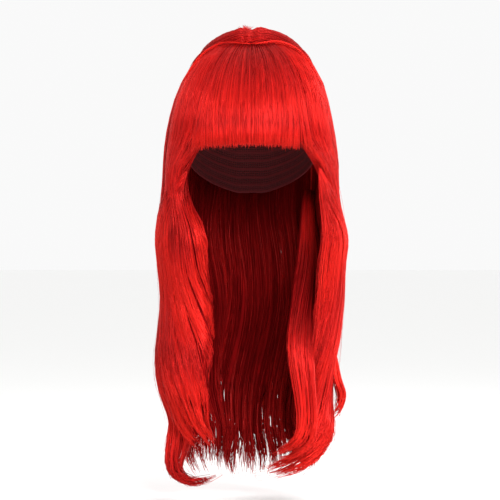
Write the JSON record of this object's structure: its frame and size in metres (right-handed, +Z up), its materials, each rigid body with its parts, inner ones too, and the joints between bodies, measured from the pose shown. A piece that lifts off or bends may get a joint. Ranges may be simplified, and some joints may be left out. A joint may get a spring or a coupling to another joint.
{
  "type": "wig",
  "caption": "Long, loosely waved red wig with a straight-cut fringe and a raised, teased crown on a hollow cap, shaped as it hangs when worn",
  "frame": {"origin": "where the top of the wearer's head meets the inside of the cap", "axes": "+Z up, the face towards -Y, +X to the right of someone who looks at the face"},
  "size_m": [0.2002, 0.2161, 0.4778],
  "materials": {
    "hair": "glossy modacrylic fibre, combed",
    "cap_net": "matt knitted net"
  },
  "bodies": {
    "root": {"cap": "cap_net", "crown": "hair", "fringe": "hair", "left_front_lock": "hair", "left_side_lock": "hair", "left_back_lock": "hair", "right_front_lock": "hair", "right_side_lock": "hair", "right_back_lock": "hair", "back_middle_lock": "hair", "right_inner_lock": "hair", "right_outer_curl": "hair"}
  },
  "joints": []
}
